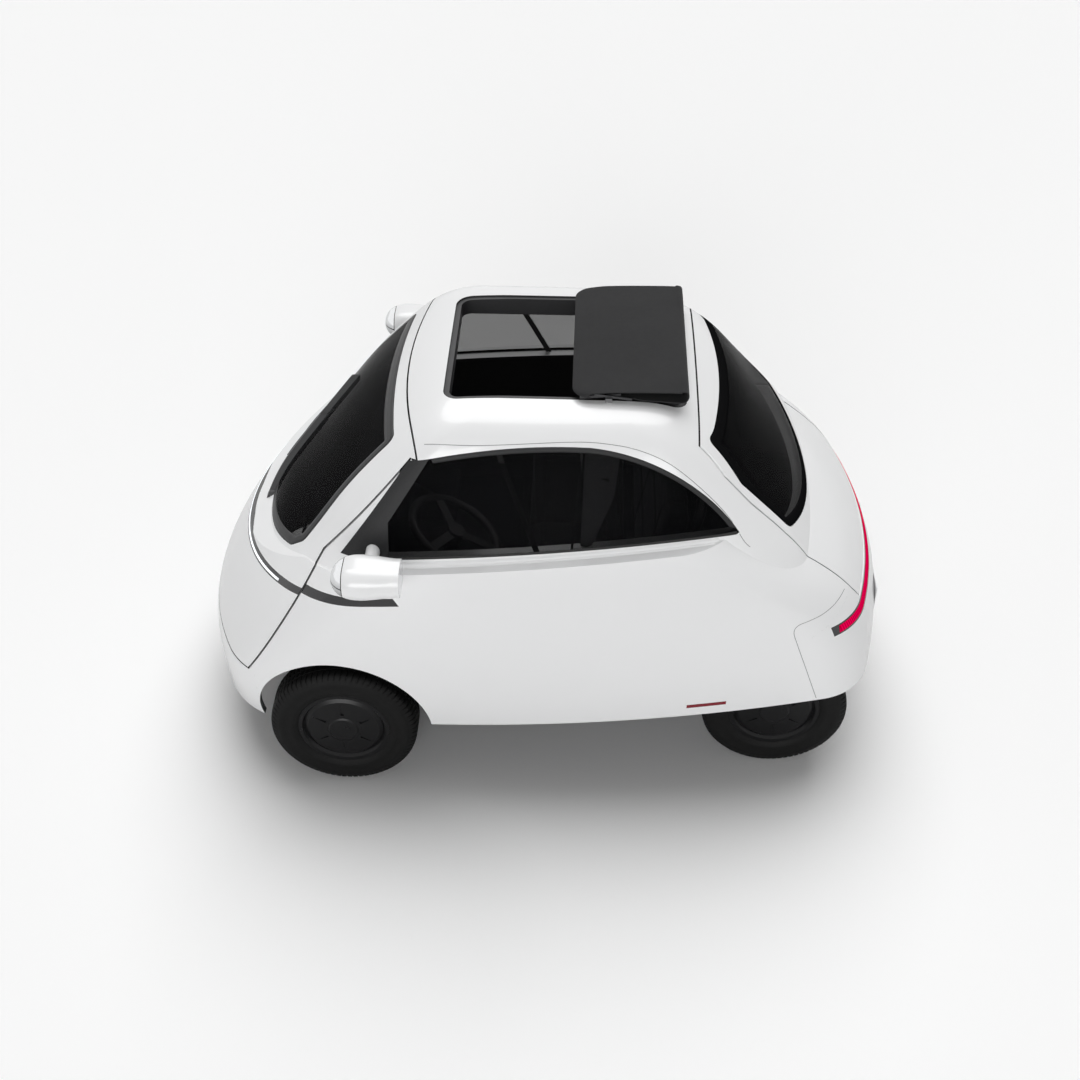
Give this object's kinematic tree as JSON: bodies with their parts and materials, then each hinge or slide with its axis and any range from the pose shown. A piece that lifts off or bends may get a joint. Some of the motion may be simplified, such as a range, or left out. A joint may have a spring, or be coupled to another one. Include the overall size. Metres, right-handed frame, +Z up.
{
  "type": "microcar",
  "caption": "Egg-shaped electric city car with a full-width front door, a tailgate, an open fabric roof, lamp pods beside the screen, and steered front wheels.",
  "frame": {"origin": "on the ground under the middle of the car's overall box", "axes": "+Z up, +Y to the car's rear, +X to the car's left"},
  "size_m": [1.7402, 2.5217, 1.5234],
  "materials": {
    "canvas": "dark grey roof fabric",
    "floor": "dark floor coating",
    "glass": "dark tinted glass",
    "lamp_black": "gloss black lamp strip",
    "lens": "clear lamp lens",
    "mirror": "mirror",
    "motor": "cast housing",
    "paint": "gloss white paint",
    "plate": "blank white plate",
    "reflector": "dark red reflector",
    "rubber": "black rubber seal",
    "seat_fabric": "dark seat fabric",
    "steel": "black painted steel",
    "trim": "black moulded plastic",
    "tyre": "black tyre rubber",
    "wheel": "satin black"
  },
  "bodies": {
    "body": {"arch_liners": "trim", "battery_box": "floor", "boot_floor": "floor", "bulkhead": "steel", "fender_strips": "lamp_black", "floor_pan": "floor", "folding_roof": "canvas", "front_apron": "paint", "front_arms": "steel", "front_dampers": "steel", "headlamps": "lens", "mirror_bases": "trim", "mirror_glass": "mirror", "mirror_housings": "paint", "motor": "motor", "number_plate": "plate", "pedals": "trim", "rear_arms": "steel", "rear_bumper": "paint", "rear_springs": "steel", "roof": "paint", "roof_rim": "trim", "seat_back": "seat_fabric", "seat_base": "floor", "seat_cushion": "seat_fabric", "seat_hoop": "steel", "shut_seals": "rubber", "side_left": "paint", "side_reflectors": "reflector", "side_right": "paint", "side_windows": "glass", "steering_column": "trim", "steering_rack": "steel", "subframe": "steel", "tail_lamp": "lamp_black"},
    "front_door": {"front_door": "paint", "windscreen": "glass", "light_strip": "lamp_black", "wiper": "trim", "door_beam": "trim"},
    "tailgate": {"tailgate": "paint", "rear_window": "glass"},
    "steering_wheel": {"steering_wheel": "trim"},
    "knuckle_left": {"knuckle_left": "steel"},
    "knuckle_right": {"knuckle_right": "steel"},
    "wheel_front_left": {"tyre_front_left": "tyre", "wheel_front_left": "wheel"},
    "wheel_front_right": {"tyre_front_right": "tyre", "wheel_front_right": "wheel"},
    "wheel_rear_left": {"tyre_rear_left": "tyre", "wheel_rear_left": "wheel"},
    "wheel_rear_right": {"tyre_rear_right": "tyre", "wheel_rear_right": "wheel"}
  },
  "joints": [
    {"name": "front_door_hinge", "type": "hinge", "parent": "body", "child": "front_door", "pos_m": [0.69, -0.8, 0.8], "axis": [0, 0, 1], "range_deg": [0, 80]},
    {"name": "tailgate_hinge", "type": "hinge", "parent": "body", "child": "tailgate", "pos_m": [0, 0.528, 1.432], "axis": [1, 0, 0], "range_deg": [0, 75]},
    {"name": "steer_left", "type": "hinge", "parent": "body", "child": "knuckle_left", "pos_m": [0.585, -0.702, 0.2665], "axis": [0, 0, 1], "range_deg": [-32, 32]},
    {"name": "steer_right", "type": "hinge", "parent": "body", "child": "knuckle_right", "pos_m": [-0.585, -0.702, 0.2665], "axis": [0, 0, 1], "range_deg": [-32, 32]},
    {"name": "front_left_spin", "type": "hinge", "parent": "knuckle_left", "child": "wheel_front_left", "pos_m": [0.6395, -0.702, 0.2665], "axis": [1, 0, 0], "continuous": true},
    {"name": "front_right_spin", "type": "hinge", "parent": "knuckle_right", "child": "wheel_front_right", "pos_m": [-0.6395, -0.702, 0.2665], "axis": [1, 0, 0], "continuous": true},
    {"name": "rear_left_spin", "type": "hinge", "parent": "body", "child": "wheel_rear_left", "pos_m": [0.4925, 0.864, 0.2665], "axis": [1, 0, 0], "continuous": true},
    {"name": "rear_right_spin", "type": "hinge", "parent": "body", "child": "wheel_rear_right", "pos_m": [-0.4925, 0.864, 0.2665], "axis": [1, 0, 0], "continuous": true},
    {"name": "steering_wheel_turn", "type": "hinge", "parent": "body", "child": "steering_wheel", "pos_m": [0.25, -0.33, 0.8], "axis": [0, 0.4803, 0.8771], "range_deg": [-480, 480]}
  ],
  "couplings": [
    {"joint": "steer_right", "follows": "steer_left", "ratio": 1},
    {"joint": "steering_wheel_turn", "follows": "steer_left", "ratio": 15}
  ]
}
